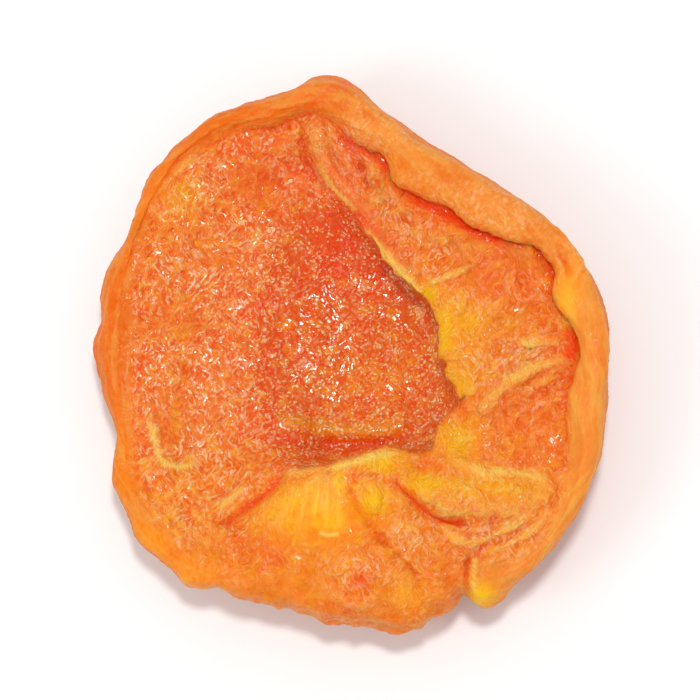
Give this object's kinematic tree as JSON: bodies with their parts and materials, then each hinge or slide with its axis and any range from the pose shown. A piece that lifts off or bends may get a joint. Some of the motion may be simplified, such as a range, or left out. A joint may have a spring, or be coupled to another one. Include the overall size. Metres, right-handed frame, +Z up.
{
  "type": "dried apricot half",
  "caption": "Dried apricot half lying cut side up, with a rolled-in skin rim, wrinkled flesh and the hollow left by the stone.",
  "frame": {"origin": "centre of the small flat on the skin side that the half rests on", "axes": "+Z up, out of the cut side; +Y along the long way of the half, to the end where the stem was; +X towards the side with the widest rolled rim"},
  "size_m": [0.0437, 0.0469, 0.0112],
  "materials": {
    "dried_apricot": "satin, slightly sticky and translucent"
  },
  "bodies": {
    "root": {"apricot_half": "dried_apricot"}
  },
  "joints": []
}
